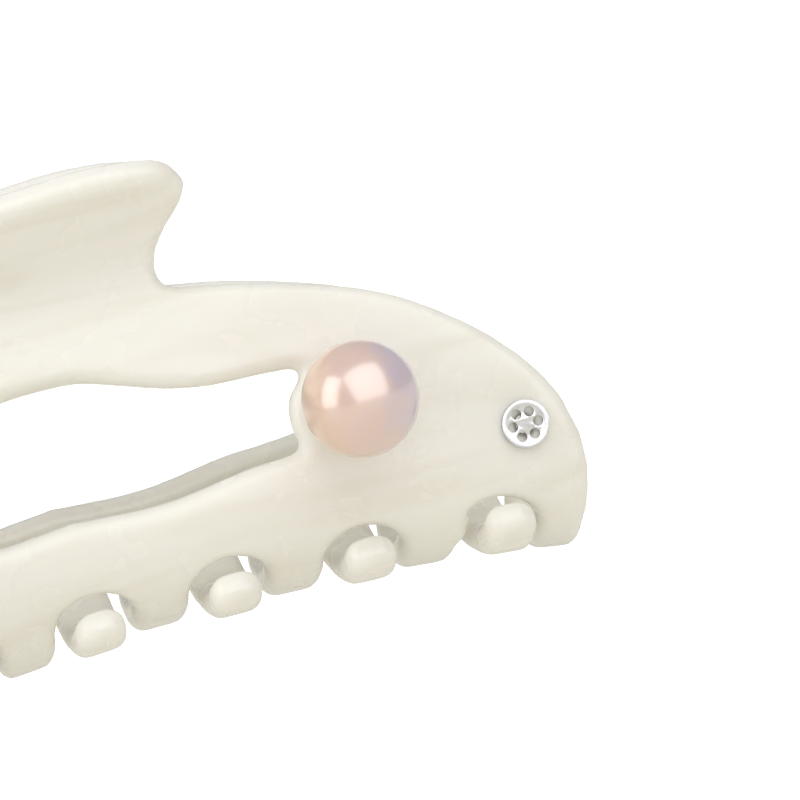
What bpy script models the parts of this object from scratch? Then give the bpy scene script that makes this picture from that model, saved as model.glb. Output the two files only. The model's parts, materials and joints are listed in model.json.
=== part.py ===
"""Hair claw clip: two bent acetate jaws on a sprung pin hinge, with pearls and a small badge.

Metres, +Z up. X runs along the clip, the front jaw is at -Y, and Z = 0 is the level of
the lowest teeth. The origin is below the middle of the whole clip, pearls included, so
the hinge plane lies at HINGE_Y. Each jaw is a flat plate cut to an outline and bent: the
outline is drawn in flat coordinates (x along the clip, h up the plate), and bend() wraps
it round the jaw's cross-section. Pieces are built about the hinge plane, and the two
pivots that they are parented to carry them to HINGE_Y.
"""

import math

import bmesh
import bpy
from mathutils import Matrix, Vector

MM = 0.001

# Plate and hinge
PLATE = 3.2 * MM
EDGE = 0.8 * MM
GAP = 0.3 * MM
BASE = 3.43 * MM
WAIST = 33.0 * MM
HINGE_Z = WAIST + BASE
HINGE_Y = 4.71 * MM

# Cross-section of the outer face above the hook: (h, distance in front of the hinge plane)
BODY_SECTION = [
    (11, 9.4), (14, 9.15), (18, 8.8), (23, 8.2), (28, 7.3),
    (33, 6.5), (36, 6.8), (40, 9.2), (45, 13.4),
]
HOOK_H = 11.0 * MM
HOOK_LEAN = math.radians(5.2)
HOOK_RADIUS = 9.0 * MM
HOOK_FLAT = math.radians(30)
CURL_RADIUS = 12.0 * MM

# Teeth
PITCH = 13.3 * MM
TOOTH_TIP_H = -16.5 * MM
TOOTH_ROOT_WIDTH = 5.7 * MM
TOOTH_TIP_WIDTH = 4.9 * MM
TOOTH_CORNER = 1.9 * MM
NOTCH_TOP = 6.1 * MM
INNER_NOTCH_TOP = 5.6 * MM
END_NOTCH_TOP = 6.3 * MM
END_NOTCH_SLANT = 0.9 * MM
END_TOOTH_LEAN = 0.6 * MM
FRONT_TEETH = 8
REAR_TEETH = 7

# The bottom edge is arched: the ends hang lower than the middle, and the teeth just left
# of the middle are bent a little lower than their partners on the right
END_X = 47.0 * MM
END_DROP = {-1: 3.3 * MM, 1: 2.4 * MM}
DROP_POWER = 2.6
LEFT_SAG = 0.9 * MM
TIP_LIFT = {-1: 0.0, 1: 0.25 * MM}

# Right half of the outline in millimetres, from the middle of the thumb tab
TAB_EDGE = [
    (0, 42.9), (6, 43.3), (11, 43.3), (14.8, 42.9), (17.3, 42.0), (18.4, 40.6), (17.8, 39.2),
    (16.1, 37.4), (14.6, 35.6), (14.0, 33.9), (14.4, 32.5), (15.8, 31.9),
]
ARCH_EDGE = [
    (15.8, 31.9), (21, 31.0), (27, 29.4), (34.2, 26.7), (40.8, 22.5), (45.6, 18.7),
    (48.5, 15.2), (49.4, 12.2), (49.35, 9.0),
]
FRONT_END = [(49.35, 9.0), (48.95, 5.5), (48.4, 1.0)]
REAR_END = [(49.35, 9.0), (48.6, 7.5), (47.0, 6.6), (45.2, 6.5), (43.8, 5.8)]
WINDOW_TOP = [(0, 26.1), (4, 25.9), (8, 24.6), (12, 23.2), (16, 22.4), (20.5, 22.2), (23.9, 22.0)]
WINDOW_LOBE = [(23.9, 22.0), (24.8, 21.5), (24.3, 20.6), (23.1, 19.4), (22.6, 17.5), (22.7, 15.8), (22.9, 15.0)]
WINDOW_BOTTOM = [
    (22.9, 15.0), (22.3, 14.4), (21, 14.2), (18.5, 14.1), (14.4, 13.5), (10.5, 12.95), (7, 12.85),
    (3, 13.1), (0, 13.35),
]
REAR_WINDOW_END = [
    (23.9, 22.0), (26.2, 21.4), (27.9, 20.0), (28.5, 18.0), (27.9, 16.0), (26.2, 14.9), (23.5, 14.4),
    (21, 14.2),
]

# Hinge pieces
PIN_RADIUS = 1.0 * MM
BORE_RADIUS = 1.15 * MM
PIN_HALF_LENGTH = 13.4 * MM
PIN_HEAD_RADIUS = 2.0 * MM
PIN_HEAD_THICK = 0.9 * MM
KNUCKLE_RADIUS = 2.7 * MM
KNUCKLE_FOOT = 3.5 * MM
KNUCKLE_WIDTH = 3.4 * MM
FRONT_KNUCKLE_X = 11.2 * MM
REAR_KNUCKLE_X = 7.4 * MM
WIRE_RADIUS = 0.45 * MM
COIL_RADIUS = 2.15 * MM
COIL_TURNS = 7
COIL_HALF_LENGTH = 3.9 * MM
LEG_TOP_H = 41.5 * MM

# Pearls and badge, placed by their flat coordinates on the front jaw
PEARL_RADIUS = 5.5 * MM
PEARL_X = 28.2 * MM
PEARL_H = 17.8 * MM
PEARL_LIFT = 1.0 * MM
CUP_RADIUS = 2.6 * MM
CUP_FLOOR = 0.4 * MM
PEG_RADIUS = 0.5 * MM
PEG_HOLE_RADIUS = 0.85 * MM
PEG_DEPTH = 2.2 * MM
BADGE_X = 44.1 * MM
BADGE_H = 13.3 * MM
BADGE_RADIUS = 2.3 * MM
BADGE_THICK = 0.6 * MM
BADGE_HOLE_RADIUS = 0.5 * MM
BADGE_HOLE_RING = 1.27 * MM
BADGE_HOLES = 6
POST_RADIUS = 0.5 * MM
POST_DEPTH = 2.0 * MM

FRONT = -1
REAR = 1


# ---- curves -------------------------------------------------------------------------


def hermite(points, x):
    """Value at x of the smooth curve through points whose x runs upwards."""
    xs = [p[0] for p in points]
    ys = [p[1] for p in points]
    spans = [b - a for a, b in zip(xs, xs[1:])]
    slopes = [(b - a) / span for a, b, span in zip(ys, ys[1:], spans)]
    tangents = [slopes[0]]
    for i in range(1, len(slopes)):
        weighted = slopes[i - 1] * spans[i] + slopes[i] * spans[i - 1]
        tangents.append(weighted / (spans[i] + spans[i - 1]))
    tangents.append(slopes[-1])
    i = max(0, min(len(spans) - 1, sum(x >= value for value in xs) - 1))
    t = (x - xs[i]) / spans[i]
    return (
        (2 * t**3 - 3 * t**2 + 1) * ys[i]
        + (t**3 - 2 * t**2 + t) * spans[i] * tangents[i]
        + (3 * t**2 - 2 * t**3) * ys[i + 1]
        + (t**3 - t**2) * spans[i] * tangents[i + 1]
    )


def through(points_mm, step=1.4):
    """A smooth open curve through points in millimetres, sampled about every step."""
    points = [Vector(p) for p in points_mm]
    lengths = [0.0]
    for a, b in zip(points, points[1:]):
        lengths.append(lengths[-1] + (b - a).length)
    xs = list(zip(lengths, (p.x for p in points)))
    ys = list(zip(lengths, (p.y for p in points)))
    sampled = []
    for start, end in zip(lengths, lengths[1:]):
        count = max(1, round((end - start) / step))
        sampled += [start + (end - start) * i / count for i in range(count)]
    sampled.append(lengths[-1])
    return [Vector((hermite(xs, s), hermite(ys, s))) * MM for s in sampled]


def arc(centre, radius, start, end, count):
    """Points from angle start to angle end, in degrees, both included."""
    angles = [math.radians(start + (end - start) * i / count) for i in range(count + 1)]
    return [Vector(centre) + radius * Vector((math.cos(a), math.sin(a))) for a in angles]


def circle(centre, radius, count):
    return arc(centre, radius, 0, 360, count)[:-1]


# ---- bending ------------------------------------------------------------------------


def section(h):
    """Outer face of a jaw at flat height h: (distance from the hinge plane, height, heading).

    The heading is the angle of the face going down the plate, 0 straight down and 90
    degrees towards the other jaw.
    """
    if h >= HOOK_H:
        out = hermite(BODY_SECTION, h / MM) * MM
        slope = (hermite(BODY_SECTION, h / MM + 0.05) - hermite(BODY_SECTION, h / MM - 0.05)) / 0.1
        return out, h, math.atan(slope)
    along = HOOK_H - h
    centre_out = BODY_SECTION[0][1] * MM - HOOK_RADIUS * math.cos(HOOK_LEAN)
    centre_z = HOOK_H - HOOK_RADIUS * math.sin(HOOK_LEAN)
    turn = math.pi / 2 - HOOK_FLAT
    first = HOOK_RADIUS * (turn + HOOK_LEAN)
    if along <= first:
        angle = along / HOOK_RADIUS - HOOK_LEAN
        return (
            centre_out + HOOK_RADIUS * math.cos(angle),
            centre_z - HOOK_RADIUS * math.sin(angle),
            angle,
        )
    join_out = centre_out + HOOK_RADIUS * math.cos(turn)
    join_z = centre_z - HOOK_RADIUS * math.sin(turn)
    radius = join_z / (1 - math.cos(HOOK_FLAT))
    lowest_out = join_out - radius * math.sin(HOOK_FLAT)
    angle = (along - first) / radius - HOOK_FLAT
    if angle > 0:
        angle *= radius / CURL_RADIUS
        radius = CURL_RADIUS
    out = lowest_out - radius * math.sin(angle)
    return out, radius * (1 - math.cos(angle)), angle + math.pi / 2


def smoothstep(value, start, end):
    t = max(0.0, min(1.0, (value - start) / (end - start)))
    return t * t * (3 - 2 * t)


def drop(x, h, side):
    """How much lower the arched bottom hangs at x; the tooth tips keep a higher line."""
    share = smoothstep(h, 26 * MM, 10 * MM) * (1 - 0.5 * smoothstep(h, -9 * MM, -17 * MM))
    sag = smoothstep(-x, 0, 7 * MM) * smoothstep(-x, 46 * MM, 16 * MM) * smoothstep(h, 8 * MM, -2 * MM)
    lift = TIP_LIFT[side] * smoothstep(h, 0, -9 * MM)
    return END_DROP[side] * (abs(x) / END_X) ** DROP_POWER * share + LEFT_SAG * sag - lift


def bend(x, h, side, depth=0.0):
    """Place of flat point (x, h), depth metres in from the outer face, about the hinge plane."""
    out, z, heading = section(h)
    out -= depth * math.cos(heading)
    z += depth * math.sin(heading)
    return Vector((x, side * out, z + BASE - drop(x, h, side)))


def outward(x, h, side):
    """Unit normal of the outer face at a flat point."""
    return (bend(x, h, side) - bend(x, h, side, PLATE)).normalized()


# ---- objects ------------------------------------------------------------------------


def clear_scene():
    for obj in list(bpy.data.objects):
        bpy.data.objects.remove(obj)


def material(name, colour, roughness, metallic=0.0):
    made = bpy.data.materials.new(name)
    made.use_nodes = True
    shader = made.node_tree.nodes["Principled BSDF"]
    shader.inputs["Base Color"].default_value = (*colour, 1)
    shader.inputs["Roughness"].default_value = roughness
    shader.inputs["Metallic"].default_value = metallic
    return made


def pivot(name):
    """An empty on the hinge axis, which the pieces of one jaw are parented to."""
    empty = bpy.data.objects.new(name, None)
    empty.location = (0, HINGE_Y, HINGE_Z)
    bpy.context.scene.collection.objects.link(empty)
    return empty


def add_mesh(name, bm, finish, parent):
    """An object from a bmesh built about the hinge plane, with its origin on the hinge axis."""
    mesh = bpy.data.meshes.new(name)
    bm.transform(Matrix.Translation((0, 0, -HINGE_Z)))
    bm.to_mesh(mesh)
    bm.free()
    mesh.materials.append(finish)
    obj = bpy.data.objects.new(name, mesh)
    obj.parent = parent
    bpy.context.scene.collection.objects.link(obj)
    return obj


def solidify(obj, thickness, offset):
    modifier = obj.modifiers.new("Thickness", "SOLIDIFY")
    modifier.thickness = thickness
    modifier.offset = offset
    modifier.use_even_offset = True


def round_off(obj, angle=35):
    obj.data.shade_smooth()
    obj.data.set_sharp_from_angle(angle=math.radians(angle))


def filled(loops):
    """A bmesh of flat faces in the XY plane: the first loop less the others."""
    bm = bmesh.new()
    for loop in loops:
        verts = [bm.verts.new((p.x, p.y, 0)) for p in loop]
        for a, b in zip(verts, verts[1:] + verts[:1]):
            bm.edges.new((a, b))
    bmesh.ops.triangle_fill(bm, use_beauty=True, edges=bm.edges[:], normal=(0, 0, 1))
    bmesh.ops.recalc_face_normals(bm, faces=bm.faces[:])
    if bm.faces[0].normal.z < 0:
        bmesh.ops.reverse_faces(bm, faces=bm.faces[:])
    return bm


def cut_across(bm, axis, levels):
    normal = Vector((1, 0, 0)) if axis == 0 else Vector((0, 1, 0))
    for level in levels:
        bmesh.ops.bisect_plane(
            bm, geom=bm.verts[:] + bm.edges[:] + bm.faces[:], dist=1e-6,
            plane_co=normal * level, plane_no=normal,
        )


# ---- jaws ---------------------------------------------------------------------------


def tooth(centre, last, lean):
    """Lower end of a tooth from its right side round to its left side.

    The outermost tooth of the front jaw is last = 1 (right) or -1 (left): its outer
    side follows the end of the arch. A tooth's tip stands lean to the right of its root.
    """
    half = TOOTH_TIP_WIDTH / 2
    low = TOOTH_TIP_H + TOOTH_CORNER
    tip = centre + lean
    right = arc((tip + half - TOOTH_CORNER, low), TOOTH_CORNER, 0, -90, 3)
    left = arc((tip - half + TOOTH_CORNER, low), TOOTH_CORNER, -90, -180, 3)
    root = TOOTH_ROOT_WIDTH / 2
    shoulder = NOTCH_TOP - (PITCH - TOOTH_ROOT_WIDTH) / 2
    start = [] if last == 1 else [Vector((centre + root, shoulder - 3 * MM))]
    end = [] if last == -1 else [Vector((centre - root, shoulder - 3 * MM))]
    return start + right + left + end


def notch(middle, end):
    """A front jaw's notch from right to left: end is 1 or -1 for the outermost ones.

    The outermost notches are cut higher, and their inner corner is slanted.
    """
    radius = (PITCH - TOOTH_ROOT_WIDTH) / 2
    top = END_NOTCH_TOP if end else INNER_NOTCH_TOP
    edge = arc((0, top - radius), radius, 0, 180, 8)
    if end:
        slant = Vector((END_NOTCH_SLANT - radius, top - 1.2 * radius))
        edge = edge[:7] + [slant]
    if end == -1:
        edge = [Vector((-p.x, p.y)) for p in reversed(edge)]
    return [p + Vector((middle, 0)) for p in edge]


def lower_edge(centres, front):
    """Teeth and notches from right to left."""
    radius = (PITCH - TOOTH_ROOT_WIDTH) / 2
    edge = []
    for i, centre in enumerate(centres):
        end = (i == 0) - (i == len(centres) - 1)
        edge += tooth(centre, end if front else 0, 0 if front else end * END_TOOTH_LEAN)
        if i < len(centres) - 1:
            middle = (centre + centres[i + 1]) / 2
            if front:
                edge += notch(middle, (i == 0) - (i == len(centres) - 2))
            else:
                edge += arc((middle, NOTCH_TOP - radius), radius, 0, 180, 8)
    return edge


def jaw_outline(teeth):
    centres = [(teeth - 1) / 2 * PITCH - i * PITCH for i in range(teeth)]
    front = teeth == FRONT_TEETH
    end = FRONT_END if front else REAR_END
    right = through(TAB_EDGE, 1.6) + through(ARCH_EDGE, 2.6)[1:] + through(end, 2.0)[1:]
    mirrored = [Vector((-p.x, p.y)) for p in reversed(right)]
    lower = lower_edge(centres, front)
    if not front:
        shoulder = NOTCH_TOP - (PITCH - TOOTH_ROOT_WIDTH) / 2
        side = centres[0] + TOOTH_ROOT_WIDTH / 2
        lower = [Vector((side, shoulder))] + lower + [Vector((-side, shoulder))]
    return right + lower + mirrored[:-1]


def window_outline(side):
    """The window. The front jaw's is narrowed at each end by the round pad under its pearl."""
    if side == FRONT:
        end = through(WINDOW_LOBE, 1.0) + through(WINDOW_BOTTOM, 2.0)[1:]
    else:
        end = through(REAR_WINDOW_END, 1.4) + through(WINDOW_BOTTOM[2:], 2.0)[1:]
    right = through(WINDOW_TOP, 2.0) + end[1:]
    mirrored = [Vector((-p.x, p.y)) for p in reversed(right)]
    return right + mirrored[1:-1]


def inset(loop, distance):
    """The loop moved to its left by distance, vertex for vertex."""
    moved = []
    for before, point, after in zip(loop[-1:] + loop[:-1], loop, loop[1:] + loop[:1]):
        a = (point - before).normalized()
        b = (after - point).normalized()
        normal = Vector((-a.y - b.y, a.x + b.x)).normalized()
        square = max(0.7, normal.dot(Vector((-a.y, a.x))))
        moved.append(point + normal * distance / square)
    return moved


def anticlockwise(loop, wanted=True):
    area = sum(a.x * b.y - b.x * a.y for a, b in zip(loop, loop[1:] + loop[:1]))
    return loop if (area > 0) == wanted else loop[::-1]


def matching_point(point, inner_loops, outer_loops):
    """The outer outline's point beside a point on the inner outline."""
    best = None
    for inner, outer in zip(inner_loops, outer_loops):
        for i, a in enumerate(inner):
            b = inner[(i + 1) % len(inner)]
            along = (b - a).normalized()
            t = max(0.0, min((b - a).length, (point - a).dot(along)))
            away = (a + along * t - point).length
            if best is None or away < best[0]:
                share = t / (b - a).length
                best = (away, outer[i].lerp(outer[(i + 1) % len(outer)], share))
    return best[1]


def merge_cells(bm, xs, hs):
    """Dissolve the edges that don't lie on a cut line, leaving one face in each cell."""
    def on_line(edge):
        a, b = (vert.co for vert in edge.verts)
        on_x = any(abs(a.x - x) < 1e-6 and abs(b.x - x) < 1e-6 for x in xs)
        return on_x or any(abs(a.y - h) < 1e-6 and abs(b.y - h) < 1e-6 for h in hs)

    for edge in bm.edges:
        edge.seam = on_line(edge)
    bmesh.ops.dissolve_limit(
        bm, angle_limit=math.radians(1), verts=bm.verts[:], edges=bm.edges[:], delimit={"SEAM"}
    )


def make_jaw(name, teeth, side, holes, finish, parent):
    """A jaw: its flat outline, filled and cut into cells, then bent with chamfered edges."""
    outline = anticlockwise(jaw_outline(teeth))
    openings = [anticlockwise(loop, False) for loop in [window_outline(side)] + holes]
    edges = [EDGE, EDGE] + [0.15 * MM] * len(holes)
    outer = [outline] + openings
    inner = [inset(loop, edge) for loop, edge in zip(outer, edges)]
    flat = filled(inner)
    hs = [TOOTH_TIP_H + 2.3 * MM * i for i in range(1, 13)] + [HOOK_H + 3 * MM * i for i in range(1, 12)]
    xs = [way * x * MM for x in (15, 30, 41) for way in (-1, 1)]
    cut_across(flat, 1, hs)
    cut_across(flat, 0, xs)
    merge_cells(flat, xs, hs)

    bm = bmesh.new()
    faces, rims = {}, {}
    for vert in flat.verts:
        x, h = vert.co.x, vert.co.y
        faces[vert] = [bm.verts.new(bend(x, h, side, depth)) for depth in (0, PLATE)]
        if vert.is_boundary:
            rim = matching_point(vert.co.xy, inner, outer)
            rims[vert] = [bm.verts.new(bend(rim.x, rim.y, side, d)) for d in (EDGE, PLATE - EDGE)]
    for face in flat.faces:
        bm.faces.new([faces[vert][0] for vert in face.verts])
        bm.faces.new([faces[vert][1] for vert in reversed(face.verts)])
    for edge in flat.edges:
        if edge.is_boundary:
            a, b = (loop.vert for loop in (edge.link_loops[0], edge.link_loops[0].link_loop_next))
            rings = [[faces[v][0], rims[v][0], rims[v][1], faces[v][1]] for v in (a, b)]
            for i in range(3):
                bm.faces.new([rings[0][i], rings[0][i + 1], rings[1][i + 1], rings[1][i]])
    flat.free()
    if side == REAR:
        bmesh.ops.reverse_faces(bm, faces=bm.faces[:])
    obj = add_mesh(name, bm, finish, parent)
    round_off(obj)
    return obj


# ---- hinge --------------------------------------------------------------------------


def make_knuckle(name, x, side, finish, parent):
    """A bored lug whose foot follows the inner face of its jaw."""
    foot = []
    for i in range(5):
        h = WAIST + KNUCKLE_FOOT * (i / 2 - 1)
        place = bend(0, h, side, PLATE + GAP)
        foot.append(Vector((place.y, place.z - HINGE_Z)))
    ring = arc((0, 0), KNUCKLE_RADIUS, 75, -75, 12)
    ring = [Vector((-side * p.x, p.y)) for p in ring]
    bm = filled([foot + ring, circle((0, 0), BORE_RADIUS, 24)])
    turn = Matrix(((0, 0, 1), (1, 0, 0), (0, 1, 0))).to_4x4()
    bm.transform(Matrix.Translation((x, 0, HINGE_Z)) @ turn)
    obj = add_mesh(name, bm, finish, parent)
    solidify(obj, KNUCKLE_WIDTH, 0)
    round_off(obj)
    return obj


def turned(name, profile, matrix, finish, parent, steps=16):
    """A turned piece. The profile is (radius, height) points down the outer side."""
    mesh = bpy.data.meshes.new(name)
    mesh.from_pydata([(r, 0, z) for r, z in profile], [(i, i + 1) for i in range(len(profile) - 1)], [])
    mesh.materials.append(finish)
    obj = bpy.data.objects.new(name, mesh)
    bpy.context.scene.collection.objects.link(obj)
    obj.parent = parent
    obj.matrix_local = Matrix.Translation((0, 0, -HINGE_Z)) @ matrix
    screw = obj.modifiers.new("Turn", "SCREW")
    screw.steps = steps
    screw.render_steps = steps
    screw.use_merge_vertices = True
    screw.merge_threshold = 1e-6
    screw.use_smooth_shade = True
    return obj


def along_x(x):
    """Places a turned piece with its axis on the hinge axis."""
    return Matrix.Translation((x, 0, HINGE_Z)) @ Matrix.Rotation(math.pi / 2, 4, "Y")


def make_pin(finish, parent):
    """Hinge pin with a formed head at its left end."""
    profile = [
        (0, PIN_HALF_LENGTH), (PIN_RADIUS, PIN_HALF_LENGTH), (PIN_RADIUS, -PIN_HALF_LENGTH),
        (PIN_HEAD_RADIUS, -PIN_HALF_LENGTH), (PIN_HEAD_RADIUS, -PIN_HALF_LENGTH - PIN_HEAD_THICK / 2),
        (PIN_HEAD_RADIUS * 0.7, -PIN_HALF_LENGTH - PIN_HEAD_THICK),
        (0, -PIN_HALF_LENGTH - PIN_HEAD_THICK),
    ]
    return turned("hinge_pin", profile, along_x(0), finish, parent)


def make_pin_cap(finish, parent):
    """Push-on cap that closes the pin's right end."""
    floor = PIN_HALF_LENGTH + GAP
    profile = [
        (0, floor + 0.4 * MM), (PIN_HEAD_RADIUS * 0.7, floor + 0.4 * MM), (PIN_HEAD_RADIUS, floor),
        (PIN_HEAD_RADIUS, floor - 0.6 * MM), (BORE_RADIUS, floor - 0.6 * MM),
        (BORE_RADIUS, floor), (0, floor),
    ]
    return turned("pin_cap", profile, along_x(0), finish, parent)


def spring_path():
    """Centre line of the torsion spring: front leg, coil, rear leg."""
    coil = []
    per_turn = 10
    total = COIL_TURNS * per_turn
    for i in range(total + 1):
        angle = math.pi + 2 * math.pi * i / per_turn
        x = COIL_HALF_LENGTH * (2 * i / total - 1)
        coil.append(Vector((x, COIL_RADIUS * math.cos(angle), COIL_RADIUS * math.sin(angle))))
    clear = PLATE + GAP + WIRE_RADIUS
    legs = {}
    for side, x in ((FRONT, -COIL_HALF_LENGTH), (REAR, COIL_HALF_LENGTH)):
        legs[side] = []
        for i in range(1, 5):
            h = WAIST + (LEG_TOP_H - WAIST) * i / 4
            rest = bend(x, h, side, clear + 0.5 * MM * (1 - i / 4))
            legs[side].append(rest - Vector((0, 0, HINGE_Z)))
    turn_over = Vector((0, -COIL_RADIUS, 0))
    coil[0] = Vector((-COIL_HALF_LENGTH, 0, 0)) + turn_over
    # The last half turn runs on round to the rear side before its leg goes up.
    rest = [
        Vector((COIL_HALF_LENGTH, COIL_RADIUS * math.cos(a), COIL_RADIUS * math.sin(a)))
        for a in (math.radians(180 + 26 * i) for i in range(1, 7))
    ]
    return legs[FRONT][::-1] + coil + rest + [Vector((COIL_HALF_LENGTH, COIL_RADIUS, 0))] + legs[REAR]


def make_spring(finish, parent):
    curve = bpy.data.curves.new("torsion_spring", "CURVE")
    curve.dimensions = "3D"
    curve.bevel_depth = WIRE_RADIUS
    curve.bevel_resolution = 1
    curve.use_fill_caps = True
    path = spring_path()
    spline = curve.splines.new("POLY")
    spline.points.add(len(path) - 1)
    for point, place in zip(spline.points, path):
        point.co = (*place, 1)
    curve.materials.append(finish)
    obj = bpy.data.objects.new("torsion_spring", curve)
    obj.parent = parent
    bpy.context.scene.collection.objects.link(obj)
    return obj


# ---- pearls and badge ---------------------------------------------------------------


def on_front(x, h):
    """Frame on the front jaw's outer face, with its Z axis pointing away from the plate."""
    normal = outward(x, h, FRONT)
    across = Vector((1, 0, 0))
    upward = normal.cross(across)
    turn = Matrix((across, upward, normal)).transposed().to_4x4()
    return Matrix.Translation(bend(x, h, FRONT)) @ turn


def make_pearl(name, x, finish, parent):
    """Half-drilled pearl: a sphere with a blind hole for the cup's peg."""
    centre = PEARL_LIFT + PEARL_RADIUS
    start = math.degrees(math.asin(PEG_HOLE_RADIUS / PEARL_RADIUS)) - 90
    outer = [centre_point + Vector((0, centre)) for centre_point in arc((0, 0), PEARL_RADIUS, 90, start, 12)]
    hole_top = PEARL_LIFT + PEG_DEPTH + GAP
    profile = [(0, outer[0].y)] + [(p.x, p.y) for p in outer[1:]]
    profile += [(PEG_HOLE_RADIUS, hole_top), (0, hole_top)]
    return turned(name, profile, on_front(x, PEARL_H), finish, parent, 24)


def make_cup(name, x, finish, parent):
    """Shallow metal cup under the pearl, with a peg up into it and a peg down into the jaw."""
    centre = PEARL_LIFT + PEARL_RADIUS
    inner = PEARL_RADIUS + GAP

    def dish(radius):
        return centre - math.sqrt(inner**2 - radius**2)

    rim = CUP_RADIUS - 0.25 * MM
    profile = [
        (0, PEARL_LIFT + PEG_DEPTH), (PEG_RADIUS, PEARL_LIFT + PEG_DEPTH), (PEG_RADIUS, dish(PEG_RADIUS)),
        (rim / 2, dish(rim / 2)), (rim, dish(rim)), (CUP_RADIUS, dish(rim)),
        (CUP_RADIUS - 0.4 * MM, GAP), (PEG_RADIUS, GAP), (PEG_RADIUS, -PEG_DEPTH), (0, -PEG_DEPTH),
    ]
    return turned(name, profile, on_front(x, PEARL_H), finish, parent)


def make_badge(finish, parent):
    """Pierced round badge, standing on a post that enters the jaw."""
    holes = []
    for i in range(BADGE_HOLES):
        angle = 2 * math.pi * i / BADGE_HOLES
        centre = BADGE_HOLE_RING * Vector((math.cos(angle), math.sin(angle)))
        holes.append(circle(centre, BADGE_HOLE_RADIUS, 10))
    bm = filled([circle((0, 0), BADGE_RADIUS, 32)] + holes)
    place = on_front(BADGE_X, BADGE_H)
    bm.transform(place @ Matrix.Translation((0, 0, GAP)))
    badge = add_mesh("badge", bm, finish, parent)
    solidify(badge, BADGE_THICK, 1)
    post = bmesh.new()
    top = GAP + BADGE_THICK / 2
    bmesh.ops.create_cone(
        post, cap_ends=True, segments=16, radius1=POST_RADIUS, radius2=POST_RADIUS,
        depth=top + POST_DEPTH,
    )
    post.transform(place @ Matrix.Translation((0, 0, (top - POST_DEPTH) / 2)))
    helper = add_mesh("badge_post", post, finish, parent)
    helper.hide_render = True
    helper.display_type = "WIRE"
    join = badge.modifiers.new("Post", "BOOLEAN")
    join.operation = "UNION"
    join.object = helper
    round_off(badge)
    return badge


def mounting_holes():
    """Holes through the front jaw, in flat coordinates, for the two pegs and the post."""
    places = [(-PEARL_X, PEARL_H), (PEARL_X, PEARL_H), (BADGE_X, BADGE_H)]
    return [circle(place, PEG_HOLE_RADIUS, 12) for place in places]


def main():
    clear_scene()
    acetate = material("ivory_acetate", (0.86, 0.83, 0.76), 0.18)
    steel = material("spring_steel", (0.55, 0.55, 0.56), 0.3, 1.0)
    pearl = material("pink_pearl", (0.87, 0.72, 0.64), 0.2)
    silver = material("silver_plate", (0.85, 0.85, 0.86), 0.15, 1.0)

    front = pivot("front_jaw_frame")
    rear = pivot("rear_jaw_pivot")
    make_jaw("front_jaw", FRONT_TEETH, FRONT, mounting_holes(), acetate, front)
    make_jaw("rear_jaw", REAR_TEETH, REAR, [], acetate, rear)

    for word, way in (("left", -1), ("right", 1)):
        make_knuckle(f"front_knuckle_{word}", way * FRONT_KNUCKLE_X, FRONT, acetate, front)
        make_knuckle(f"rear_knuckle_{word}", way * REAR_KNUCKLE_X, REAR, acetate, rear)
        make_cup(f"pearl_cup_{word}", way * PEARL_X, silver, front)
        make_pearl(f"pearl_{word}", way * PEARL_X, pearl, front)
    make_pin(steel, front)
    make_pin_cap(steel, front)
    make_spring(steel, front)
    make_badge(silver, front)


main()
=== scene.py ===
"""Looks of the hair claw clip: polished ivory acetate jaws, lustrous pearls and bright metal.

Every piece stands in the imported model's frame, in metres, +Z up, with the hinge along X.
Each class below is one sub-assembly: it holds its sizes, builds its meshes and dresses
them. The jaws and knuckles are made from the frame's own solids, and the pearls, their
cups, the badge, the pin and the spring are modelled anew in the same places.
"""

from __future__ import annotations

import json
import logging
import math
from collections.abc import Callable
from dataclasses import dataclass, field
from enum import Enum

import bpy
from mathutils import Matrix, Vector

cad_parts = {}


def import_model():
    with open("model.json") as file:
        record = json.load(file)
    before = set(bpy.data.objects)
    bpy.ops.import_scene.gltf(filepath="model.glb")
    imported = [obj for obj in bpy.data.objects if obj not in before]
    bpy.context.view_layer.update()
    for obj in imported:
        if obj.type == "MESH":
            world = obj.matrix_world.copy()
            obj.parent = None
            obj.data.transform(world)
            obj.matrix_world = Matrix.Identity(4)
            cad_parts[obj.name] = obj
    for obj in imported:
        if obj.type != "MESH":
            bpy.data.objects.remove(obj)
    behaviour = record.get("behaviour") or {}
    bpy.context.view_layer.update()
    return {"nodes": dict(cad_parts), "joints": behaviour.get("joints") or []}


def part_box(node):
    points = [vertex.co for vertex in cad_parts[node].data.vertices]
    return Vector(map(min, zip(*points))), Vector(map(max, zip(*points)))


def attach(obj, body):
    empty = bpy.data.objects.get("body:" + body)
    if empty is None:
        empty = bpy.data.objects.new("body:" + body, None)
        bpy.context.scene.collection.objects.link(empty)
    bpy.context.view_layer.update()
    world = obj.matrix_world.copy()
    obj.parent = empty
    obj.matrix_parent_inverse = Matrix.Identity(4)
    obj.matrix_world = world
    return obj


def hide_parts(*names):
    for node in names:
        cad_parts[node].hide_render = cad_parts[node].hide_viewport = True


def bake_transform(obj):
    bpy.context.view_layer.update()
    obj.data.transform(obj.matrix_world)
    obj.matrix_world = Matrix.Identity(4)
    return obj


MM = 0.001
HAIRLINE = 0.01 * MM  # the least step between two rings of a mesh
MERGE = 0.001 * MM  # points nearer than this are one point
FLAT = 0.9  # a face looks along an axis if its normal has at least this share of it
ROUND_SHADING = math.radians(50)  # round pieces keep only edges sharper than this
METAL_SHADING = math.radians(35)  # the same for turned metal
LOG = logging.getLogger("claw_clip")

Colour = tuple[float, float, float]
Triple = tuple[float, float, float]


class Body(str, Enum):
    """The clip's rigid halves, by the names that the frame gives them."""

    FRONT = "front"
    REAR = "rear"


class Slot(str, Enum):
    """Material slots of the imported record."""

    ACETATE = "acetate"
    PEARL = "pearl"
    SILVER = "silver"
    STEEL = "steel"


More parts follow.
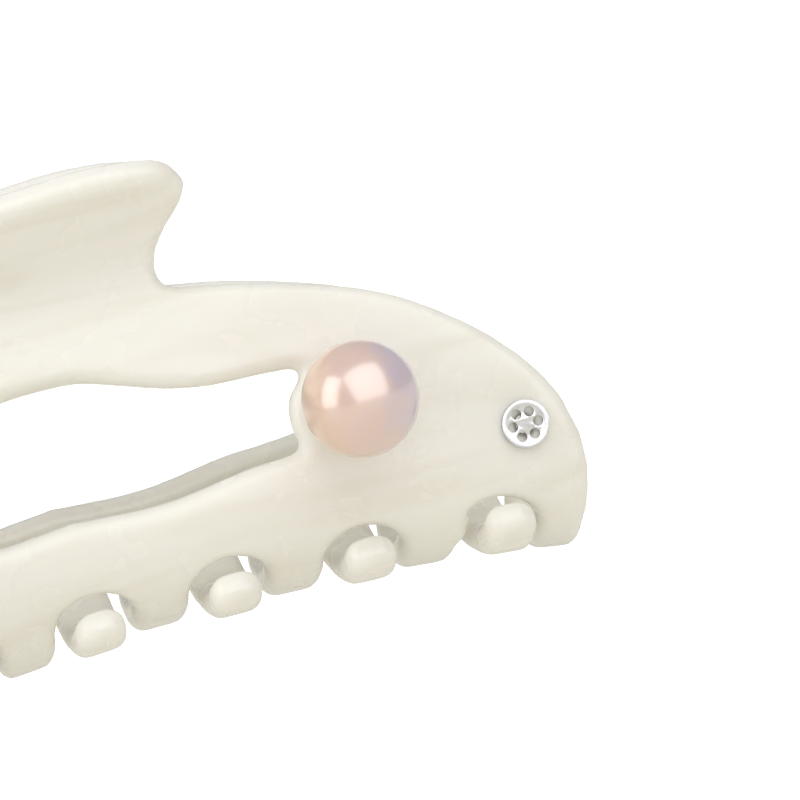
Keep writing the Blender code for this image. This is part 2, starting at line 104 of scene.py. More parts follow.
class Side(Enum):
    """Left and right along the clip, with the sign of X."""

    LEFT = -1
    RIGHT = 1

    @property
    def word(self) -> str:
        """The side's name as the pieces use it."""
        return self.name.lower()


# ---- modelling helpers ---------------------------------------------------------------


def deselect_all() -> None:
    """Deselect every object, so that an operator acts on the next primitive only."""
    bpy.ops.object.select_all(action="DESELECT")


def select_only(obj: bpy.types.Object) -> None:
    """Make a piece the active object and the only selected one.

    Args:
        obj: The piece.
    """
    deselect_all()
    obj.hide_set(False)
    obj.select_set(True)
    bpy.context.view_layer.objects.active = obj


def new_piece(name: str) -> bpy.types.Object:
    """Name the object that was just added.

    Args:
        name: The piece's name.

    Returns:
        The new object.
    """
    obj = bpy.context.active_object
    obj.name = name
    obj.data.name = name
    return obj


def add_cylinder(
    name: str, sides: int, radius: float, depth: float, centre: Triple = (0.0, 0.0, 0.0)
) -> bpy.types.Object:
    """Add a closed cylinder along Z, alone in the selection.

    Args:
        name: Its name.
        sides: Number of faces round it.
        radius: Its radius, in metres.
        depth: Its length along Z, in metres.
        centre: Its middle.

    Returns:
        The cylinder.
    """
    deselect_all()
    bpy.ops.mesh.primitive_cylinder_add(
        vertices=sides, radius=radius, depth=depth, location=centre
    )
    return new_piece(name)


def apply_modifier(obj: bpy.types.Object, kind: str, **settings: object) -> None:
    """Add a modifier to a piece and apply it.

    Args:
        obj: The piece.
        kind: Blender's modifier type.
        **settings: The modifier's properties.
    """
    modifier = obj.modifiers.new(kind.title(), kind)
    for name, value in settings.items():
        setattr(modifier, name, value)
    select_only(obj)
    bpy.ops.object.modifier_apply(modifier=modifier.name)


def shade_smooth(obj: bpy.types.Object, sharp: float) -> None:
    """Shade a piece smooth, except over its sharp edges.

    Args:
        obj: The piece.
        sharp: The least angle between two faces that stays an edge, in radians.
    """
    select_only(obj)
    bpy.ops.object.shade_smooth_by_angle(angle=sharp)


def bevelled(obj: bpy.types.Object, width: float, segments: int, least: float) -> None:
    """Round a metal piece's edges and shade the rest smooth.

    Args:
        obj: The piece.
        width: Width of the rounding, in metres.
        segments: Number of faces across it.
        least: The least angle of an edge that is rounded, in radians.
    """
    apply_modifier(obj, "BEVEL", width=width, segments=segments, angle_limit=least)
    shade_smooth(obj, METAL_SHADING)


def combine(obj: bpy.types.Object, tool: bpy.types.Object, operation: str) -> None:
    """Cut a tool out of a piece, or join it on, and remove the tool.

    Args:
        obj: The piece.
        tool: The solid that is cut out or joined on.
        operation: DIFFERENCE or UNION.
    """
    apply_modifier(obj, "BOOLEAN", operation=operation, solver="EXACT", object=tool)
    bpy.data.objects.remove(tool)


def place(obj: bpy.types.Object, matrix: Matrix) -> None:
    """Move a finished piece to its place and leave its object at the origin.

    Args:
        obj: The piece, modelled about the origin.
        matrix: Its place and turn.
    """
    obj.matrix_world = matrix
    bpy.context.view_layer.update()
    select_only(obj)
    bpy.ops.object.transform_apply(location=True, rotation=True, scale=True)


def faces_up(_centre: Vector, normal: Vector) -> bool:
    """Whether a face looks along +Z."""
    return normal.z > FLAT


def faces_down(_centre: Vector, normal: Vector) -> bool:
    """Whether a face looks along -Z."""
    return normal.z < -FLAT


def pick_faces(obj: bpy.types.Object, wanted: Callable[[Vector, Vector], bool]) -> None:
    """Enter edit mode with just the wanted faces selected.

    Args:
        obj: The piece.
        wanted: Says from a face's centre and normal whether it is picked.
    """
    select_only(obj)
    bpy.ops.object.mode_set(mode="EDIT")
    bpy.ops.mesh.select_mode(type="FACE")
    bpy.ops.mesh.select_all(action="DESELECT")
    bpy.ops.object.mode_set(mode="OBJECT")
    for polygon in obj.data.polygons:
        polygon.select = wanted(polygon.center, polygon.normal)
    bpy.ops.object.mode_set(mode="EDIT")


def leave_edit_mode(recalculate: bool = False) -> None:
    """Go back to object mode.

    Args:
        recalculate: Whether all normals are turned outwards first.
    """
    if recalculate:
        bpy.ops.mesh.select_all(action="SELECT")
        bpy.ops.mesh.normals_make_consistent(inside=False)
    bpy.ops.object.mode_set(mode="OBJECT")


def extrude(rise: float) -> None:
    """Extrude the selected faces and move them along Z."""
    bpy.ops.mesh.extrude_region_move(TRANSFORM_OT_translate={"value": (0.0, 0.0, rise)})


def widen(times: float) -> None:
    """Scale the selected faces about their middle, across Z."""
    bpy.ops.transform.resize(value=(times, times, 1.0))


def copy_of(node: bpy.types.Object, name: str) -> bpy.types.Object:
    """Copy a frame node's solid into a new piece, merged by distance.

    Args:
        node: The frame's node.
        name: The new piece's name.

    Returns:
        The new piece, in the same place.
    """
    mesh = node.data.copy()
    mesh.name = name
    mesh.materials.clear()
    obj = bpy.data.objects.new(name, mesh)
    bpy.context.scene.collection.objects.link(obj)
    select_only(obj)
    bpy.ops.object.mode_set(mode="EDIT")
    bpy.ops.mesh.select_all(action="SELECT")
    bpy.ops.mesh.remove_doubles(threshold=MERGE)
    bpy.ops.object.mode_set(mode="OBJECT")
    return obj


def polished(obj: bpy.types.Object, voxel: float, passes: int) -> None:
    """Round a sharp solid off all over, as tumbling does.

    Args:
        obj: The piece.
        voxel: Edge length of the even mesh that replaces its own, in metres.
        passes: How many times each point is drawn towards its neighbours.
    """
    apply_modifier(obj, "REMESH", mode="VOXEL", voxel_size=voxel, adaptivity=0.0)
    apply_modifier(obj, "SMOOTH", factor=0.5, iterations=passes)
    select_only(obj)
    bpy.ops.object.shade_smooth()


def finish_piece(
    obj: bpy.types.Object, material: bpy.types.Material, body: Body | None, node: str
) -> None:
    """Dress a piece, fasten it to its body and let it stand for its node.

    Args:
        obj: The piece.
        material: Its material.
        body: The body that it rides on, or None for a piece fastened to neither, such as the
            spring that spans the two.
        node: The frame's node that it replaces.
    """
    obj.data.materials.clear()
    obj.data.materials.append(material)
    if body is not None:
        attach(obj, body.value)
    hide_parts(node)
    LOG.info("%s: %d faces", obj.name, len(obj.data.polygons))


# ---- finishes ------------------------------------------------------------------------


class Shader:
    """A small builder for one material's nodes."""

    def __init__(self, name: str) -> None:
        """Start a material with a Principled shader."""
        self.material = bpy.data.materials.new(name)
        self.material.use_nodes = True
        self.tree = self.material.node_tree
        self.principled = self.tree.nodes["Principled BSDF"]

    def set(self, **values: object) -> None:
        """Set the shader's own sockets.

        Args:
            **values: The sockets' values, by name with underscores for spaces.
        """
        for name, value in values.items():
            self.principled.inputs[name.replace("_", " ")].default_value = value

    def add(self, kind: str, **settings: object) -> bpy.types.Node:
        """Add a node and set its properties.

        Args:
            kind: Blender's node type.
            **settings: The node's properties.

        Returns:
            The node.
        """
        node = self.tree.nodes.new(kind)
        for name, value in settings.items():
            setattr(node, name, value)
        return node

    def link(self, source: bpy.types.NodeSocket, target: bpy.types.NodeSocket) -> None:
        """Join two sockets."""
        self.tree.links.new(source, target)

    def coordinates(self, scale: Triple, turn: float = 0.0) -> bpy.types.NodeSocket:
        """Object coordinates, scaled and turned about Y.

        Args:
            scale: Cycles per metre along each axis.
            turn: Turn about the Y axis, in radians.

        Returns:
            The mapped vector.
        """
        coordinate = self.add("ShaderNodeTexCoord")
        mapping = self.add("ShaderNodeMapping")
        mapping.inputs["Scale"].default_value = scale
        mapping.inputs["Rotation"].default_value = (0.0, turn, 0.0)
        self.link(coordinate.outputs["Object"], mapping.inputs["Vector"])
        return mapping.outputs["Vector"]

    def noise(
        self, vector: bpy.types.NodeSocket, detail: float, distortion: float
    ) -> bpy.types.NodeSocket:
        """Noise of one cycle per unit of vector.

        Args:
            vector: Where the noise is read.
            detail: Number of finer octaves.
            distortion: How far the pattern swirls.

        Returns:
            The noise's value.
        """
        node = self.add("ShaderNodeTexNoise")
        node.inputs["Scale"].default_value = 1.0
        node.inputs["Detail"].default_value = detail
        node.inputs["Distortion"].default_value = distortion
        self.link(vector, node.inputs["Vector"])
        return node.outputs["Fac"]

    def ramp(
        self, value: bpy.types.NodeSocket, stops: list[tuple[float, Colour]]
    ) -> bpy.types.NodeSocket:
        """A colour ramp.

        Args:
            value: What is looked up.
            stops: Position and colour of each stop.

        Returns:
            The colour.
        """
        node = self.add("ShaderNodeValToRGB")
        elements = node.color_ramp.elements
        while len(elements) < len(stops):
            elements.new(0.5)
        for element, (position, colour) in zip(elements, stops):
            element.position = position
            element.color = (*colour, 1.0)
        self.link(value, node.inputs["Fac"])
        return node.outputs["Color"]

    def tint(self, value: bpy.types.NodeSocket, stops: list[tuple[float, Colour]]) -> None:
        """Let the base colour follow a pattern.

        Args:
            value: The pattern.
            stops: Position and colour of each stop.
        """
        self.link(self.ramp(value, stops), self.principled.inputs["Base Color"])

    def gloss(self, value: bpy.types.NodeSocket, stops: list[tuple[float, float]]) -> None:
        """Let the roughness follow a pattern.

        Args:
            value: The pattern.
            stops: Position and roughness of each stop.
        """
        greys = [(position, (rough, rough, rough)) for position, rough in stops]
        self.link(self.ramp(value, greys), self.principled.inputs["Roughness"])

    def bump(self, height: bpy.types.NodeSocket, distance: float, strength: float) -> None:
        """Feed a height into the shader's normal.

        Args:
            height: The height, 0 to 1.
            distance: What a height of 1 means, in metres.
            strength: Share of the effect.
        """
        node = self.add("ShaderNodeBump")
        node.inputs["Distance"].default_value = distance
        node.inputs["Strength"].default_value = strength
        self.link(height, node.inputs["Height"])
        self.link(node.outputs["Normal"], self.principled.inputs["Normal"])


@dataclass(frozen=True)
class Acetate:
    """Polished ivory cellulose acetate: waxy, with faint cloudy swirls along the sheet.

    Each grain is a pattern's cycles per metre along X, Y and Z.
    """

    light: Colour = (0.905, 0.885, 0.820)
    cloud: Colour = (0.865, 0.838, 0.758)
    glossy: float = 0.24
    hazy: float = 0.30
    swirl_grain: Triple = (28.0, 90.0, 150.0)
    swirl_turn: float = math.radians(8)
    haze_grain: Triple = (180.0, 180.0, 180.0)
    ripple_grain: Triple = (260.0, 260.0, 420.0)
    ripple_height: float = 0.02 * MM

    def make(self) -> bpy.types.Material:
        """Build the material.

        Returns:
            The material.
        """
        shader = Shader("ivory_acetate")
        swirl = shader.noise(
            shader.coordinates(self.swirl_grain, self.swirl_turn), detail=5.0, distortion=1.6
        )
        shader.tint(swirl, [(0.34, self.cloud), (0.50, self.light), (0.72, self.light)])
        haze = shader.noise(shader.coordinates(self.haze_grain), detail=3.0, distortion=0.4)
        shader.gloss(haze, [(0.3, self.glossy), (0.75, self.hazy)])
        ripple = shader.noise(shader.coordinates(self.ripple_grain), detail=2.0, distortion=0.3)
        shader.bump(ripple, self.ripple_height, strength=0.25)
        shader.set(
            IOR=1.48,
            Subsurface_Weight=0.35,
            Subsurface_Radius=(1.0, 0.85, 0.62),
            Subsurface_Scale=1.6 * MM,
            Coat_Weight=0.15,
            Coat_Roughness=0.12,
        )
        return shader.material


@dataclass(frozen=True)
class Nacre:
    """Pearl nacre: pink ivory whose orient drifts from peach to lilac, under a clear lustre.

    The drift runs outwards from the clip's middle, across one pearl from inner to outer.
    Each grain is a pattern's cycles per metre along X, Y and Z.
    """

    inner: float
    outer: float
    peach: Colour = (0.79, 0.56, 0.43)
    rose: Colour = (0.77, 0.56, 0.49)
    lilac: Colour = (0.67, 0.55, 0.62)
    stir: float = 0.9
    cloud_grain: Triple = (190.0, 190.0, 190.0)
    ripple_grain: Triple = (420.0, 420.0, 420.0)
    ripple_height: float = 0.02 * MM

    def across(self, shader: Shader) -> bpy.types.NodeSocket:
        """How far out on its pearl a point lies.

        Args:
            shader: The material's shader.

        Returns:
            The share of the pearl's width, 0 at its inner side and 1 at its outer side.
        """
        place = shader.add("ShaderNodeSeparateXYZ")
        shader.link(shader.coordinates((1.0, 1.0, 1.0)), place.inputs["Vector"])
        reach = shader.add("ShaderNodeMath", operation="ABSOLUTE")
        shader.link(place.outputs["X"], reach.inputs[0])
        share = shader.add("ShaderNodeMapRange")
        share.inputs["From Min"].default_value = self.inner
        share.inputs["From Max"].default_value = self.outer
        shader.link(reach.outputs[0], share.inputs["Value"])
        return share.outputs[0]

    def stirred(self, shader: Shader) -> bpy.types.NodeSocket:
        """The share across the pearl, stirred by a soft cloud.

        Args:
            shader: The material's shader.

        Returns:
            The stirred share, held between 0 and 1.
        """
        cloud = shader.noise(shader.coordinates(self.cloud_grain), detail=1.0, distortion=0.8)
        mixed = shader.add("ShaderNodeMath", operation="MULTIPLY_ADD")
        mixed.inputs[1].default_value = self.stir
        shader.link(cloud, mixed.inputs[0])
        shader.link(self.across(shader), mixed.inputs[2])
        centred = shader.add("ShaderNodeMath", operation="SUBTRACT", use_clamp=True)
        centred.inputs[1].default_value = self.stir / 2
        shader.link(mixed.outputs[0], centred.inputs[0])
        return centred.outputs[0]

    def make(self) -> bpy.types.Material:
        """Build the material.

        Returns:
            The material.
        """
        shader = Shader("pink_nacre")
        bands = [(0.12, self.peach), (0.42, self.rose), (0.62, self.rose), (0.84, self.lilac)]
        shader.tint(self.stirred(shader), bands)
        ripple = shader.noise(shader.coordinates(self.ripple_grain), detail=2.0, distortion=0.5)
        shader.bump(ripple, self.ripple_height, strength=0.25)
        shader.set(
            Metallic=0.15,
            Roughness=0.3,
            IOR=1.7,
            Subsurface_Weight=0.2,
            Subsurface_Radius=(1.0, 0.7, 0.6),
            Subsurface_Scale=1.0 * MM,
            Coat_Weight=1.0,
            Coat_Roughness=0.2,
            Coat_IOR=2.2,
        )
        return shader.material


@dataclass(frozen=True)
class Metal:
    """Bright metal with fine random polishing marks.

    The grain is the marks' cycles per metre along X, Y and Z.
    """

    name: str
    bright: Colour
    dull: Colour
    glossy: float
    matt: float
    grain: Triple = (900.0, 900.0, 900.0)
    mark_height: float = 0.01 * MM

    def make(self) -> bpy.types.Material:
        """Build the material.

        Returns:
            The material.
        """
        shader = Shader(self.name)
        marks = shader.noise(shader.coordinates(self.grain), detail=3.0, distortion=0.2)
        shader.tint(marks, [(0.3, self.dull), (0.6, self.bright)])
        shader.gloss(marks, [(0.3, self.matt), (0.7, self.glossy)])
        shader.bump(marks, self.mark_height, strength=0.2)
        shader.set(Metallic=1.0)
        return shader.material


SILVER_PLATE = Metal("silver_plate", (0.74, 0.74, 0.76), (0.58, 0.58, 0.60), 0.14, 0.28)
SPRING_STEEL = Metal(
    "spring_steel",
    (0.62, 0.62, 0.63),
    (0.42, 0.42, 0.44),
    0.2,
    0.38,
    grain=(300.0, 1500.0, 1500.0),
)


def make_nacre() -> bpy.types.Material:
    """Nacre whose drift of colour is as wide as the right pearl.

    Returns:
        The material.
    """
    low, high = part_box("pearl_right")
    return Nacre(low.x, high.x).make()


@dataclass
class Finishes:
    """The clip's four materials."""

    acetate: bpy.types.Material = field(default_factory=Acetate().make)
    nacre: bpy.types.Material = field(default_factory=make_nacre)
    silver: bpy.types.Material = field(default_factory=SILVER_PLATE.make)
    steel: bpy.types.Material = field(default_factory=SPRING_STEEL.make)


# ---- sub-assemblies ------------------------------------------------------------------


@dataclass
class Jaws:
    """The two bent acetate plates and the bored knuckles fixed inside their necks."""

    nodes: dict[str, bpy.types.Object]
    finishes: Finishes
    plate_voxel: float = 0.34 * MM
    plate_passes: int = 16
    knuckle_voxel: float = 0.13 * MM
    knuckle_passes: int = 8

    def build(self) -> None:
        """Polish both jaws and all four knuckles."""
        for body in Body:
            self.plate(body)
            for side in Side:
                self.knuckle(body, side)

    def plate(self, body: Body) -> None:
        """Round one jaw's edges and teeth.

        Args:
            body: The half that it belongs to.
        """
        node = f"{body.value}_jaw"
        obj = copy_of(self.nodes[node], f"{body.value}_plate")
        polished(obj, self.plate_voxel, self.plate_passes)
        finish_piece(obj, self.finishes.acetate, body, node)

    def knuckle(self, body: Body, side: Side) -> None:
        """Round one knuckle.

        Args:
            body: The half that it is fixed to.
            side: The side that it stands on.
        """
        node = f"{body.value}_knuckle_{side.word}"
        obj = copy_of(self.nodes[node], f"{body.value}_lug_{side.word}")
        polished(obj, self.knuckle_voxel, self.knuckle_passes)
        finish_piece(obj, self.finishes.acetate, body, node)


@dataclass
class PearlMounts:
    """A half-drilled pearl on a silver cup with a peg, at each front shoulder.

    Both are modelled about the pearl's centre, with the jaw below them.
    """

    finishes: Finishes
    radius: float = 5.5 * MM
    meridians: int = 96
    parallels: int = 64
    lean: float = math.radians(5.68)
    lift: float = 1.0 * MM
    drill_radius: float = 0.85 * MM
    drill_depth: float = 1.5 * MM
    drill_lip: float = 0.05 * MM
    cup_sides: int = 64
    cup_radius: float = 2.6 * MM
    cup_wall: float = 0.25 * MM
    cup_foot: float = 2.2 * MM
    cup_gap: float = 0.3 * MM
    cup_rings: int = 6
    peg_radius: float = 0.5 * MM
    peg_depth: float = 2.2 * MM
    edge: float = 0.06 * MM
    edge_segments: int = 3
    edge_angle: float = math.radians(40)

    def build(self) -> None:
        """Make both pearls and both cups."""
        for side in Side:
            self.pearl(side)
            self.cup(side)

    def frame_of(self, side: Side) -> Matrix:
        """The mounting's frame: origin at the pearl's centre, Z away from the jaw.

        Args:
            side: The shoulder.

        Returns:
            The frame.
        """
        low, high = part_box(f"pearl_{side.word}")
        turn = Matrix.Rotation(math.pi / 2 - self.lean, 4, "X")
        return Matrix.Translation((low + high) / 2) @ turn

    def over_drill(self, centre: Vector, _normal: Vector) -> bool:
        """Whether a face of the ball lies over the drilled hole."""
        return centre.z < 0 and centre.xy.length < self.drill_radius

    def ball_height(self, reach: float) -> float:
        """Height of the pearl's seat about its centre, at a distance from the axis."""
        return -math.sqrt((self.radius + self.cup_gap) ** 2 - reach**2)

    def pearl(self, side: Side) -> None:
        """A round ball, drilled from the cup's side.

        Args:
            side: The shoulder that it sits on.
        """
        deselect_all()
        bpy.ops.mesh.primitive_uv_sphere_add(
            segments=self.meridians, ring_count=self.parallels, radius=self.radius
        )
        obj = new_piece(f"nacre_pearl_{side.word}")
        pick_faces(obj, self.over_drill)
        bpy.ops.mesh.inset(thickness=self.drill_lip)
        extrude(self.drill_depth)
        leave_edit_mode()
        apply_modifier(obj, "SUBSURF", levels=1, render_levels=1)
        shade_smooth(obj, ROUND_SHADING)
        place(obj, self.frame_of(side))
        finish_piece(obj, self.finishes.nacre, Body.FRONT, f"pearl_{side.word}")

    def cup(self, side: Side) -> None:
        """A flared dish under the pearl, with one peg up into it and one down into the jaw.

        Args:
            side: The shoulder that it sits on.
        """
        floor = -self.radius - self.lift + self.cup_gap
        seat = self.ball_height(self.cup_radius)
        middle = (0.0, 0.0, (seat + floor) / 2)
        name = f"silver_cup_{side.word}"
        obj = add_cylinder(name, self.cup_sides, self.cup_foot, seat - floor, middle)
        pick_faces(obj, faces_up)
        widen(self.cup_radius / self.cup_foot)
        bpy.ops.mesh.inset(thickness=self.cup_wall)
        self.sink_dish()
        dish = seat - (-self.radius - self.cup_gap)
        extrude(dish + self.drill_depth - 2 * self.cup_gap)
        leave_edit_mode()
        pick_faces(obj, faces_down)
        bpy.ops.mesh.inset(thickness=self.cup_foot - self.peg_radius)
        extrude(-self.peg_depth - self.cup_gap)
        leave_edit_mode(recalculate=True)
        bevelled(obj, self.edge, self.edge_segments, self.edge_angle)
        place(obj, self.frame_of(side))
        finish_piece(obj, self.finishes.silver, Body.FRONT, f"pearl_cup_{side.word}")

    def sink_dish(self) -> None:
        """Sink the selected disc ring by ring along the ball, to about the peg's width."""
        full = self.cup_radius - self.cup_wall
        for ring in range(self.cup_rings):
            outer = full * (1 - ring / self.cup_rings)
            inner = max(full * (1 - (ring + 1) / self.cup_rings), self.peg_radius)
            fall = self.ball_height(outer) - self.ball_height(inner)
            extrude(-max(fall, HAIRLINE))
            widen(inner / outer)


@dataclass
class Badge:
    """A plain round openwork badge with a raised rim, on a post.

    It is modelled with its back on the XY plane and its face towards +Z.
    """

    finishes: Finishes
    sides: int = 96
    radius: float = 2.3 * MM
    thick: float = 0.6 * MM
    rim: float = 0.42 * MM
    recess: float = 0.2 * MM
    hole_ring: float = 1.27 * MM
    hole_radius: float = 0.5 * MM
    holes: int = 6
    small_sides: int = 32
    post_radius: float = 0.5 * MM
    post_depth: float = 2.0 * MM
    gap: float = 0.3 * MM
    edge: float = 0.05 * MM
    edge_segments: int = 2
    edge_angle: float = math.radians(40)
    lean: float = math.radians(4.79)

    def build(self) -> None:
        """Shape the disc, pierce it, add the post and set it on the jaw."""
        middle = (0.0, 0.0, self.thick / 2)
        obj = add_cylinder("openwork_badge", self.sides, self.radius, self.thick, middle)
        pick_faces(obj, faces_up)
        bpy.ops.mesh.inset(thickness=self.rim)
        extrude(-self.recess)
        leave_edit_mode()
        for i in range(self.holes):
            self.pierce(obj, 2 * math.pi * i / self.holes)
        self.add_post(obj)
        bevelled(obj, self.edge, self.edge_segments, self.edge_angle)
        place(obj, self.seat())
        finish_piece(obj, self.finishes.silver, Body.FRONT, "badge")

    def seat(self) -> Matrix:
        """The badge's frame on the jaw, with Z away from the plate.

        Its face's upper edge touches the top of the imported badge's box, and its lower edge
        the box's front.

        Returns:
            The frame.
        """
        low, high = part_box("badge")
        turn = Matrix.Rotation(math.pi / 2 - self.lean, 4, "X")
        up = turn @ Vector((0.0, self.radius, 0.0))
        out = turn @ Vector((0.0, 0.0, self.thick))
        face = Vector(((low.x + high.x) / 2, low.y + up.y, high.z - up.z))
        return Matrix.Translation(face - out) @ turn

    def pierce(self, obj: bpy.types.Object, angle: float) -> None:
        """Cut one round opening through the disc.

        Args:
            obj: The disc.
            angle: Where the opening lies round it, in radians.
        """
        centre = (self.hole_ring * math.cos(angle), self.hole_ring * math.sin(angle), 0.0)
        depth = 4 * self.thick
        cutter = add_cylinder("cutter", self.small_sides, self.hole_radius, depth, centre)
        combine(obj, cutter, "DIFFERENCE")

    def add_post(self, obj: bpy.types.Object) -> None:
        """Join the post to the disc's back.

        Args:
            obj: The disc.
        """
        root = self.thick / 3
        reach = self.post_depth + self.gap + root
        centre = (0.0, 0.0, root - reach / 2)
        post = add_cylinder("post", self.small_sides, self.post_radius, reach, centre)
        combine(obj, post, "UNION")


@dataclass
class HingePin:
    """The steel pin with its formed head, and the cap pushed on its other end.

    Both are modelled along Z and turned onto the hinge axis.
    """

    finishes: Finishes
    axis: Vector
    sides: int = 48
    radius: float = 1.0 * MM
    half_length: float = 13.4 * MM
    head_radius: float = 2.0 * MM
    head_thick: float = 0.9 * MM
    head_taper: float = 0.7
    cap_floor: float = 0.4 * MM
    cap_skirt: float = 0.6 * MM
    gap: float = 0.3 * MM
    bore: float = 1.15 * MM
    edge: float = 0.12 * MM
    edge_segments: int = 3
    edge_angle: float = math.radians(35)

    def build(self) -> None:
        """Make the pin and the cap."""
        self.pin()
        self.cap()

    def finish(self, obj: bpy.types.Object, node: str) -> None:
        """Round a turned piece's edges, lay it on the hinge axis and dress it.

        Args:
            obj: The piece, along Z.
            node: The frame's node that it replaces.
        """
        bevelled(obj, self.edge, self.edge_segments, self.edge_angle)
        place(obj, Matrix.Translation(self.axis) @ Matrix.Rotation(math.pi / 2, 4, "Y"))
        finish_piece(obj, self.finishes.steel, Body.FRONT, node)

    def pin(self) -> None:
        """A rod whose lower end is upset into a tapered head."""
        obj = add_cylinder("steel_pin", self.sides, self.radius, 2 * self.half_length)
        pick_faces(obj, faces_down)
        extrude(-HAIRLINE)
        widen(self.head_radius / self.radius)
        extrude(-self.head_thick / 2)
        extrude(-self.head_thick / 2)
        widen(self.head_taper)
        leave_edit_mode(recalculate=True)
        self.finish(obj, "hinge_pin")

    def cap(self) -> None:
        """A shallow cup that grips the pin's end."""
        floor = self.half_length + self.gap
        depth = self.cap_floor + self.cap_skirt
        centre = (0.0, 0.0, floor + self.cap_floor - depth / 2)
        obj = add_cylinder("steel_cap", self.sides, self.head_radius, depth, centre)
        pick_faces(obj, faces_down)
        bpy.ops.mesh.inset(thickness=self.head_radius - self.bore)
        extrude(self.cap_skirt)
        leave_edit_mode(recalculate=True)
        self.finish(obj, "pin_cap")


@dataclass
class TorsionSpring:
    """The steel spring coiled round the pin, with a leg up the inside of each thumb tab.

    The leg's points are distances from the hinge axis in millimetres, outwards and upwards.
    """

    finishes: Finishes
    axis: Vector
    wire: float = 0.45 * MM
    coil: float = 2.15 * MM
    turns: int = 7
    half_length: float = 3.9 * MM
    steps: int = 28
    roundness: int = 3
    leg: tuple[tuple[float, float], ...] = (
        (2.324, 2.771),
        (3.676, 6.28),
        (5.441, 8.748),
        (6.6, 10.15),
    )

    def path(self) -> list[Vector]:
        """Centre line about the hinge axis: front leg, coil, rear leg.

        Returns:
            Its points, in metres from the axis.
        """
        front = [Vector((-self.half_length, -y * MM, z * MM)) for y, z in reversed(self.leg)]
        rear = [Vector((self.half_length, y * MM, z * MM)) for y, z in self.leg]
        total = self.turns * self.steps + self.steps // 2
        coil = []
        for i in range(total + 1):
            angle = math.pi + 2 * math.pi * i / self.steps
            x = self.half_length * min(1.0, 2 * i / (self.turns * self.steps) - 1)
            coil.append(Vector((x, self.coil * math.cos(angle), self.coil * math.sin(angle))))
        return front + coil + rear

    def build(self) -> None:
        """Draw the wire, cap its ends and leave it fastened to neither jaw."""
        curve = bpy.data.curves.new("wound_spring", "CURVE")
        curve.dimensions = "3D"
        curve.bevel_depth = self.wire
        curve.bevel_resolution = self.roundness
        curve.use_fill_caps = True
        points = self.path()
        spline = curve.splines.new("POLY")
        spline.points.add(len(points) - 1)
        for point, spot in zip(spline.points, points):
            point.co = (*(spot + self.axis), 1.0)
        obj = bpy.data.objects.new("wound_spring", curve)
        bpy.context.scene.collection.objects.link(obj)
        select_only(obj)
        bpy.ops.object.convert(target="MESH")
        obj = new_piece("wound_spring")
        shade_smooth(obj, ROUND_SHADING)
        finish_piece(obj, self.finishes.steel, None, "torsion_spring")
        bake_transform(obj)


# ---- studio --------------------------------------------------------------------------


class Reach(Enum):
    """What a soft box is for: lighting surfaces, showing in their gloss, or both."""

    LIGHT = (True, False)
    GLOSS = (False, True)
    BOTH = (True, True)


@dataclass(frozen=True)
class SoftBox:
    """One rectangular studio light, aimed at the clip."""

    name: str
    direction: Triple
    distance: float
    size: tuple[float, float]
    watts: float
    reach: Reach = Reach.BOTH

    def build(self, target: Vector) -> None:
        """Hang the light.

        Args:
            target: The point that it is aimed at.
        """
        outward = Vector(self.direction).normalized()
        deselect_all()
        bpy.ops.object.light_add(type="AREA", location=target + outward * self.distance)
        lamp = bpy.context.active_object
        lamp.name = self.name
        lamp.data.shape = "RECTANGLE"
        lamp.data.size, lamp.data.size_y = self.size
        lamp.data.energy = self.watts
        lamp.visible_diffuse, lamp.visible_glossy = self.reach.value
        lamp.rotation_euler = outward.to_track_quat("Z", "Y").to_euler()


def glow_strength(tree: bpy.types.NodeTree, lit: float, seen: float) -> bpy.types.NodeSocket:
    """A glow's strength, dimmer as a light than it looks.

    Args:
        tree: The nodes that the glow belongs to.
        lit: Its strength as it lights the clip.
        seen: Its strength where the camera sees it directly.

    Returns:
        The strength.
    """
    path = tree.nodes.new("ShaderNodeLightPath")
    strength = tree.nodes.new("ShaderNodeMapRange")
    strength.inputs["To Min"].default_value = lit
    strength.inputs["To Max"].default_value = seen
    tree.links.new(path.outputs["Is Camera Ray"], strength.inputs["Value"])
    return strength.outputs[0]


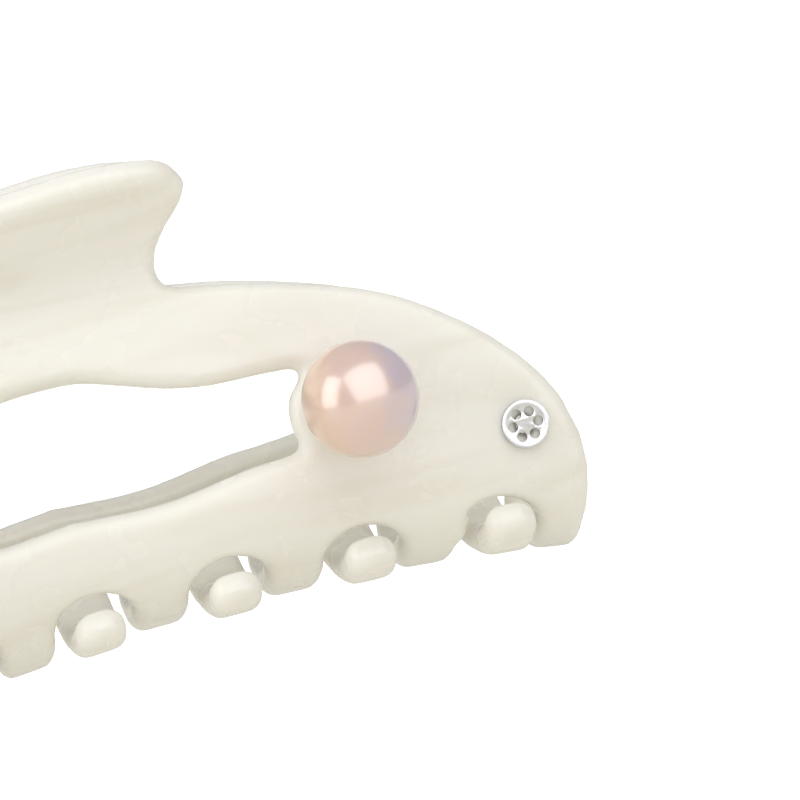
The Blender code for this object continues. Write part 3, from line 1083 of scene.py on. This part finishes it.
@dataclass
class Studio:
    """Pale floor, white surroundings, soft boxes and the camera.

    The camera's place is in millimetres, on from the hinge axis in Y.
    """

    hinge_y: float
    target: Vector = field(default_factory=lambda: Vector((0.012, 0.0, 0.022)))
    floor_size: float = 6.0
    floor_colour: Colour = (0.46, 0.44, 0.36)
    floor_lit: float = 0.40
    floor_seen: float = 0.9
    walls_lit: float = 0.46
    walls_seen: float = 1.05
    boxes: tuple[SoftBox, ...] = (
        SoftBox("key_front_top", (0.216, -0.60, 0.77), 1.0, (1.05, 0.85), 3.3, Reach.LIGHT),
        SoftBox("front_fill", (-0.15, -0.98, 0.10), 1.0, (1.4, 0.8), 0.9, Reach.LIGHT),
        SoftBox("top", (0.1, 0.25, 1.0), 1.0, (0.9, 0.9), 2.0, Reach.LIGHT),
        SoftBox("side_left", (-0.8445, -0.2673, 0.4608), 1.0, (0.62, 0.95), 3.4),
        SoftBox("lustre", (0.216, -0.788, 0.5745), 1.0, (1.45, 1.35), 9.0, Reach.GLOSS),
    )
    lens: float = 165.49
    sensor: float = 36.0
    nearest: float = 0.01
    farthest: float = 100.0
    camera_place: Triple = (-32.517, -348.633, 56.628)
    yaw: float = math.radians(10.92)
    pitch: float = math.radians(6.10)
    roll: float = math.radians(14.45)

    def build(self) -> None:
        """Set the whole studio up."""
        self.camera()
        self.floor()
        self.surroundings()
        for box in self.boxes:
            box.build(self.target)
        bpy.context.scene.view_settings.view_transform = "Standard"

    def camera(self) -> None:
        """Place the camera: yaw and pitch aim it, and roll turns it about the line of sight."""
        back = Vector(
            (
                -math.sin(self.yaw) * math.cos(self.pitch),
                -math.cos(self.yaw) * math.cos(self.pitch),
                math.sin(self.pitch),
            )
        )
        level = Vector((math.cos(self.yaw), -math.sin(self.yaw), 0.0))
        upright = back.cross(level)
        right = math.cos(self.roll) * level - math.sin(self.roll) * upright
        up = math.sin(self.roll) * level + math.cos(self.roll) * upright
        matrix = Matrix((right, up, back)).transposed().to_4x4()
        matrix.translation = Vector(self.camera_place) * MM + Vector((0.0, self.hinge_y, 0.0))
        deselect_all()
        bpy.ops.object.camera_add()
        camera = bpy.context.active_object
        camera.name = "camera"
        camera.matrix_world = matrix
        camera.data.sensor_width = self.sensor
        camera.data.lens = self.lens
        camera.data.clip_start = self.nearest
        camera.data.clip_end = self.farthest
        bpy.context.scene.camera = camera

    def floor(self) -> None:
        """A plain pale floor that the clip stands on."""
        deselect_all()
        bpy.ops.mesh.primitive_plane_add(size=self.floor_size)
        obj = new_piece("studio_floor")
        shader = Shader("pale_floor")
        white = (1.0, 1.0, 1.0, 1.0)
        shader.set(Base_Color=(*self.floor_colour, 1.0), Roughness=1.0, Emission_Color=white)
        glow = glow_strength(shader.tree, self.floor_lit, self.floor_seen)
        shader.link(glow, shader.principled.inputs["Emission Strength"])
        obj.data.materials.append(shader.material)

    def surroundings(self) -> None:
        """White surroundings on every side."""
        world = bpy.data.worlds.new("white_studio")
        bpy.context.scene.world = world
        world.use_nodes = True
        tree = world.node_tree
        background = tree.nodes["Background"]
        background.inputs["Color"].default_value = (1.0, 1.0, 1.0, 1.0)
        strength = glow_strength(tree, self.walls_lit, self.walls_seen)
        tree.links.new(strength, background.inputs["Strength"])


def main() -> None:
    """Load the frame, build every sub-assembly around it and light it."""
    logging.basicConfig(level=logging.INFO, format="%(message)s")
    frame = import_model()
    hinge = Vector(frame["joints"][0]["pos_m"])
    finishes = Finishes()
    Jaws(frame["nodes"], finishes).build()
    PearlMounts(finishes).build()
    Badge(finishes).build()
    HingePin(finishes, hinge).build()
    TorsionSpring(finishes, hinge).build()
    Studio(hinge.y).build()


if __name__ == "__main__":
    main()
